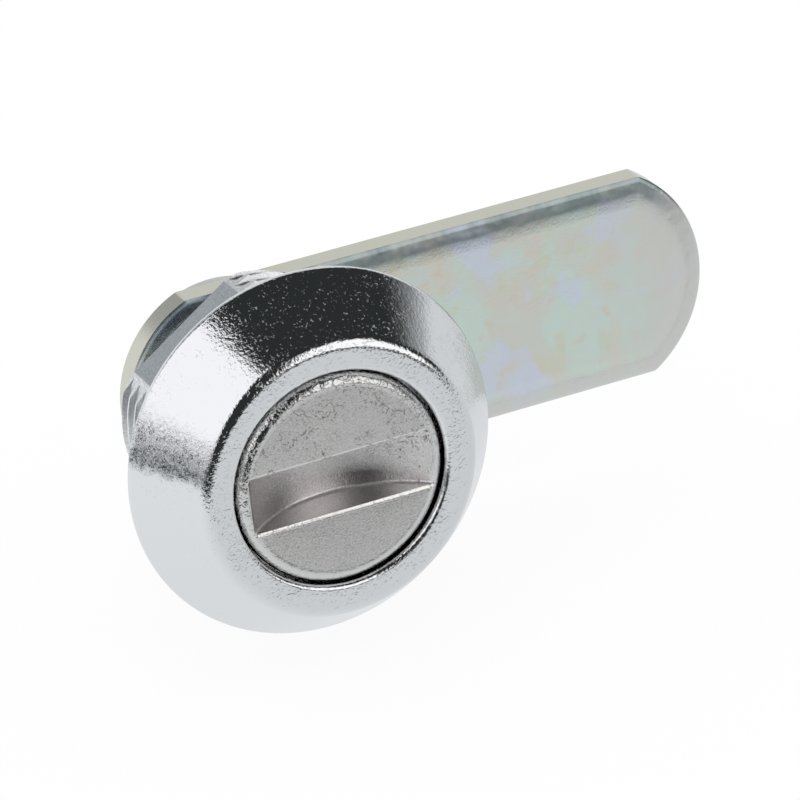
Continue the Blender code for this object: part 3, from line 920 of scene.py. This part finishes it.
def lip_tool(rim, side, radius):
    """A prism that rolls one long rim of the slot. side is 1 for the upper rim and -1 for the lower."""
    gentle, steep = LIP_SLOPES
    slopes = [steep + (gentle - steep) * i / LIP_STEPS for i in range(LIP_STEPS + 1)]
    outline = [
        (
            rim + side * radius * (math.sin(slopes[0]) - math.sin(slope)),
            FACE + radius * (math.cos(slopes[-1]) - math.cos(slope)),
        )
        for slope in slopes
    ]
    depth = outline[0][1] - FACE
    outline += [(outline[-1][0], FACE - MM), (rim - side * MM, FACE - MM)]
    outline.append((rim - side * MM, FACE + depth))
    half_length = math.sqrt(COIN_RADIUS**2 - (COIN_RADIUS - SLOT_DEPTH + depth) ** 2)
    bm = stack([(outline, -half_length), (outline, half_length)])
    bmesh.ops.transform(bm, matrix=ALONG_X, verts=bm.verts)
    return as_object("lip_tool", bm)


carve(core, "DIFFERENCE", coin())
carve(core, "DIFFERENCE", lip_tool(SLOT_TOP, 1, UPPER_LIP))
carve(core, "DIFFERENCE", lip_tool(SLOT_BOTTOM, -1, LOWER_LIP))
dress(core, "turning_core", "core", satin)

# %% [markdown]
# ## Passivated zinc
#
# The cam is plain steel sheet with bright zinc and a thin passivation film. Light that bounces between
# the film's two sides gives cloudy tints, and their colour changes with the film's thickness. A ramp over
# one noise would give rainbow rings. The real film is patchy, so each tint gets a noise of its own, and
# the patches are laid over each other like torn tissue. The rolled edge is bare and wavy, and along the
# top it is painted dark blue-grey as a painted reflection. The sheared walls have no film to speak of.
# Each tint below gives the width of its patches, the two levels between which its noise turns into a
# patch, and how much the patch covers.

# %% Passivated zinc
FILM_GROUND = rgb(0.765, 0.745, 0.680)
FILM_TINTS = (
    (8.0 * MM, 0.42, 0.57, 0.80, rgb(0.70, 0.83, 0.75)),
    (3.6 * MM, 0.52, 0.66, 0.60, rgb(0.80, 0.73, 0.63)),
    (3.2 * MM, 0.50, 0.64, 0.60, rgb(0.68, 0.85, 0.78)),
    (3.0 * MM, 0.53, 0.67, 0.65, rgb(0.75, 0.74, 0.58)),
    (4.2 * MM, 0.50, 0.63, 0.80, rgb(0.72, 0.77, 0.90)),
    (1.5 * MM, 0.62, 0.72, 0.55, rgb(0.80, 0.70, 0.60)),
)
FILM_DRIFT = rgb(0.73, 0.78, 0.71)
FILM_DRIFT_SIZE = 14 * MM
BARE_TIP = rgb(0.76, 0.75, 0.71)
BARE_FROM = (27 * MM, 36 * MM)
ROLLED = rgb(0.74, 0.74, 0.71)
# The painted reflection along the top of the rolled edge: a dark blue-grey.
ROLL_PAINTED_REFLECTION = rgb(0.28, 0.34, 0.36)
PAINTED_REFLECTION_HEIGHTS = (4 * MM, 7 * MM)
SHEARED = rgb(0.68, 0.67, 0.58)
MARK = rgb(0.40, 0.39, 0.33)
MARK_SPACING, MARK_RADIUS, MARKS_KEPT = 2.6 * MM, 0.16 * MM, 0.4
WAVE, WAVE_DEPTH = 1.3 * MM, 52e-6
SHEET_GRAIN, SHEET_DEPTH = 0.16 * MM, 7e-6


def passivated_zinc():
    material, board, where = new_finish("passivated_zinc")
    sideways, _, height = axes_of(where)
    facing = axes_of(board.node("ShaderNodeTexCoord", out="Normal"))[1]
    level = facing * facing
    film = blend(grain(where, FILM_DRIFT_SIZE), FILM_GROUND, FILM_DRIFT)
    for number, (size, low, high, share, tint) in enumerate(FILM_TINTS):
        patch = step(grain(moved(where, 0.05 * number), size, 2.0), low, high)
        film = blend(patch * share, film, tint)
    film = blend(step(sideways, *BARE_FROM) * 0.8, film, BARE_TIP)
    marks = dots(where, MARK_SPACING, MARK_RADIUS, MARKS_KEPT)
    film = blend(marks * 0.6, film, MARK)
    not_wall = step(level, 0.3, 0.6)
    rolled = (1 - step(level, 0.988, 0.999)) * not_wall
    waves = grain(where, WAVE, 2.0)
    fine = grain(where, SHEET_GRAIN, 2.0)
    # From these heights up, the roll's colour is a painted dark reflection instead of bare zinc.
    roll_colour_and_painted_reflection = blend(step(height, *PAINTED_REFLECTION_HEIGHTS), ROLLED, ROLL_PAINTED_REFLECTION)
    film = blend(rolled * (0.2 + waves * 1.1), film, roll_colour_and_painted_reflection)
    bump = raise_by(waves * rolled, WAVE_DEPTH)
    finish_with(board, {
        "Base Color": blend(not_wall, SHEARED, film),
        "Metallic": 1.0,
        "Roughness": 0.16 + fine * 0.06 + rolled * 0.12,
        "Normal": raise_by(fine * (1 - rolled * 0.85), SHEET_DEPTH, bump),
    })
    return material


zinc = passivated_zinc()
print("made", zinc.name)

# %% [markdown]
# ## The cam
#
# The cam is punched from sheet. The punch drags the edge of the front face down before it cuts, so that
# edge is a soft roll, while the rear edge stays crisp. A plate with an even bevel would miss that: the
# roll is wide and shallow at first, and then falls away steeply. Here the outline is drawn again and
# again, each time a little further out and further back, and the loops are joined.

# %% Cam outline and skin
CAM_TIP_RADIUS = 9.5 * MM
CAM_HEEL_RADIUS = -cam_low.x
CAM_HALF_WIDTH = cam_high.z
CAM_CORNER = 0.6 * MM
SMALLEST_CORNER = 0.02 * MM
TIP_POINTS = 72
ROLL_WIDTHS = (1.9 * MM, 0.4 * MM)
ROLL_SLOPES = (math.radians(0.3), math.radians(9), math.radians(34))
ROLL_STEPS = 8
REAR_ROUND = 0.06 * MM
SHANK_HOLE = 8.4 * MM


def round_end(radius, centre, inset):
    """One end of the cam's outline, drawn smaller by an inset."""
    corner = max(CAM_CORNER - inset, SMALLEST_CORNER)
    half = CAM_HALF_WIDTH - inset - corner
    reach = math.sqrt((radius - inset - corner) ** 2 - half**2)
    turn = math.atan2(half, reach)
    lower = arc((centre + reach, -half), corner, -math.pi / 2, -turn, CORNER_POINTS)
    middle = arc((centre, 0.0), radius - inset, -turn, turn, TIP_POINTS)
    upper = arc((centre + reach, half), corner, turn, math.pi / 2, CORNER_POINTS)
    return lower[:-1] + middle + upper[1:]


def cam_outline(inset):
    tip = round_end(CAM_TIP_RADIUS, cam_high.x - CAM_TIP_RADIUS, inset)
    heel = [(-x, -z) for x, z in round_end(CAM_HEEL_RADIUS, 0.0, inset)]
    return tip + heel


def cam_layers():
    """(inset, place) of each loop, from the front face over the roll to the rear face.

    The roll is two arcs, a flat one and a tight one, each drawn between two slopes."""
    inset, place = sum(ROLL_WIDTHS), cam_low.y
    layers = [(inset, place)]
    for width, start, end in zip(ROLL_WIDTHS, ROLL_SLOPES, ROLL_SLOPES[1:]):
        radius = width / (math.sin(end) - math.sin(start))
        for i in range(1, ROLL_STEPS + 1):
            slope = start + (end - start) * i / ROLL_STEPS
            out = radius * (math.sin(slope) - math.sin(start))
            back = radius * (math.cos(start) - math.cos(slope))
            layers.append((inset - out, place + back))
        inset, place = layers[-1]
    return layers + [(0.0, cam_high.y - REAR_ROUND), (REAR_ROUND, cam_high.y)]


def cam_skin():
    bm = bmesh.new()
    loops = []
    for inset, y in cam_layers():
        loops.append([bm.verts.new((x, y, z)) for x, z in cam_outline(inset)])
    for near, far in zip(loops, loops[1:]):
        for i in range(len(near)):
            bm.faces.new((near[i - 1], far[i - 1], far[i], near[i]))
    half = SHANK_HOLE / 2
    corners = [(half, half), (half, -half), (-half, -half), (-half, half)]
    front = [bm.verts.new((x, cam_low.y, z)) for x, z in corners]
    rear = [bm.verts.new((x, cam_high.y, z)) for x, z in corners]
    for i in range(4):
        bm.faces.new((front[i - 1], rear[i - 1], rear[i], front[i]))
    for outer, inner in ((loops[0], front), (loops[-1], rear)):
        rim = [bm.edges.get((ring[i - 1], ring[i])) for ring in (outer, inner) for i in range(len(ring))]
        bmesh.ops.triangle_fill(bm, use_beauty=True, edges=rim)
    bmesh.ops.recalc_face_normals(bm, faces=bm.faces)
    return bm


cam = as_object("cam_bar", cam_skin())
dress(cam, "turning_core", "cam", zinc)

# %% [markdown]
# ## Washers, seal and screw
#
# Small parts have broken edges, because they are tumbled, so a washer's profile has a round at each
# corner. A bevel modifier could make it too, but the profile is spun anyway. The seal is a plain ring.

# %% Plain washer and seal
EDGE_ROUND = 0.15 * MM
EDGE_STEPS = 4
SEAL_POINTS = 24


def washer_profile(inner, outer, front, rear):
    """A washer's section with a small round at each corner."""
    left, right = inner + EDGE_ROUND, outer - EDGE_ROUND
    low, high = front + EDGE_ROUND, rear - EDGE_ROUND
    quarter = math.pi / 2
    corners = ((right, high, 1), (right, low, 0), (left, low, -1), (left, high, -2))
    profile = []
    for across, place, start in corners:
        profile += arc(
            (across, place), EDGE_ROUND, start * quarter, (start - 1) * quarter, EDGE_STEPS
        )
    return profile


washer_bm = spin(washer_profile(SCREW_HOLE, washer_high.x, washer_low.y, washer_high.y))
dress(as_object("plain_washer", washer_bm), "turning_core", "washer", steel)
seal_half = (seal_high.y - seal_low.y) / 2
seal_middle = (seal_high.x - seal_half, GROOVE_MIDDLE)
seal_bm = spin(arc(seal_middle, seal_half, 2 * math.pi, 0.0, SEAL_POINTS)[:-1], SMALL_STEPS)
dress(as_object("seal_ring", seal_bm), "turning_core", "o_ring", rubber)

# %% [markdown]
# The stop washer sits on the square shank and turns with the core. Its ear runs between the housing's two
# lugs, and that is what ends the quarter turn. It is punched from thin sheet, so it is drawn as an outline
# in four layers, of which the outer two are a little smaller.

# %% Stop washer
EAR_HALF_SPAN = math.radians(12)
EAR_MIDDLE = math.radians(-45)
STOP_WASHER_RADIUS = -stop_low.x
EAR_REACH = STOP_WASHER_RADIUS + 1.4 * MM
EAR_POINTS = 16
WASHER_POINTS = 200
THIN_EDGE = 0.08 * MM
HOLE_REACH = 4 * MM


def ear_outline(inset):
    """The stop washer's outline, drawn smaller by an inset."""
    half_span = EAR_HALF_SPAN - inset / EAR_REACH
    start, end = EAR_MIDDLE - half_span, EAR_MIDDLE + half_span
    ear = arc((0, 0), EAR_REACH - inset, start, end, EAR_POINTS)
    return ear + arc((0, 0), STOP_WASHER_RADIUS - inset, end, start + 2 * math.pi, WASHER_POINTS)


def stop_washer():
    full, small = ear_outline(0.0), ear_outline(THIN_EDGE)
    front, back = stop_low.y, stop_high.y
    layers = [(small, front), (full, front + THIN_EDGE), (full, back - THIN_EDGE), (small, back)]
    obj = as_object("ear_washer", stack(layers))
    hole = block("shank_hole", (SHANK_HOLE, HOLE_REACH, SHANK_HOLE), (0, (front + back) / 2, 0))
    carve(obj, "DIFFERENCE", hole)
    return obj


dress(stop_washer(), "turning_core", "stop_washer", steel)

# %% [markdown]
# A spring washer is square wire that is wound a little less than one turn and sheared off, and its two
# ends stand apart until the screw presses it flat. Blender's spin can climb as it turns, and that is just
# how the wire is wound.

# %% Spring washer
SPRING_THICKNESS = 1.2 * MM
SPRING_SLIT = math.radians(10)
SPRING_STEPS = 180


def spring_washer():
    """A square section with broken edges, wound most of one turn, which climbs as it goes."""
    rise = spring_high.y - spring_low.y - SPRING_THICKNESS
    section = washer_profile(SCREW_HOLE, spring_high.x, spring_low.y, spring_low.y + SPRING_THICKNESS)
    bm = bmesh.new()
    face = bm.faces.new([bm.verts.new((radius, place, 0.0)) for radius, place in section])
    bmesh.ops.spin(
        bm, geom=[face, *face.edges, *face.verts], cent=(0, 0, 0), axis=(0, 1, 0),
        dvec=(0, rise / SPRING_STEPS, 0), angle=2 * math.pi - SPRING_SLIT, steps=SPRING_STEPS,
    )
    bmesh.ops.recalc_face_normals(bm, faces=bm.faces)
    return as_object("split_washer", bm)


dress(spring_washer(), "turning_core", "spring_washer", steel)

# %% [markdown]
# The screw has a pan head: a low crown that runs on into the round of its edge. Head and shank are one
# spun profile. Its thread is cut as the barrel's was, and the cross recess is carved by two blades that
# are narrower at the floor, as the real driver is.

# %% Screw
PAN_RADIUS = screw_high.x
PAN_SIDE = 0.9 * MM
PAN_EDGE = 1.9 * MM
PAN_TILT = math.radians(55)
PAN_POINTS = 12
SCREW_RADIUS = 2.5 * MM
SCREW_POINT = 0.5 * MM
SCREW_PITCH = 0.8 * MM
SCREW_ROWS_A_PITCH = 12
SCREW_ROOT_DEPTH = 0.4 * MM
RECESS = (4.6 * MM, 1.1 * MM)
RECESS_DEPTH = 2.2 * MM
RECESS_TAPER = 0.45


def screw_blank():
    """Pan head and shank in one profile. The head's crown runs on into the round of its edge."""
    seat = spring_high.y + SEAT_GAP
    edge = (PAN_RADIUS - PAN_EDGE, seat + PAN_SIDE)
    crown = (0.0, edge[1] - edge[0] * math.tan(PAN_TILT))
    head = arc(crown, screw_high.y - crown[1], math.pi / 2, PAN_TILT, PAN_POINTS)
    head += arc(edge, PAN_EDGE, PAN_TILT, 0.0, PAN_POINTS)[1:]
    rows = round((seat - screw_low.y) / SCREW_PITCH * SCREW_ROWS_A_PITCH)
    tip = SCREW_RADIUS - SCREW_POINT
    shank = [seat + (screw_low.y - seat) * i / rows for i in range(rows + 1)]
    shank = [(min(SCREW_RADIUS, tip + y - screw_low.y), y) for y in shank]
    bm = spin(head + [(PAN_RADIUS, seat)] + shank + [(0.0, screw_low.y)], SMALL_STEPS)
    cut_thread(bm, SCREW_RADIUS, screw_low.y, seat - MM, SCREW_PITCH, SCREW_ROOT_DEPTH)
    return as_object("pan_screw", bm)


def recess_blade(length, width):
    """One arm of the cross recess, narrower at its floor."""
    floor = screw_high.y - RECESS_DEPTH
    tall = RECESS_DEPTH + MM
    blade = block("recess_blade", (length, tall, width), (0, floor + tall / 2, 0))
    for v in blade.data.vertices:
        if v.co.y < floor + RECESS_DEPTH / 2:
            v.co.x *= RECESS_TAPER
            v.co.z *= RECESS_TAPER
    return blade


screw = screw_blank()
for size in (RECESS, RECESS[::-1]):
    carve(screw, "DIFFERENCE", recess_blade(*size))
dress(screw, "turning_core", "cam_screw", steel)
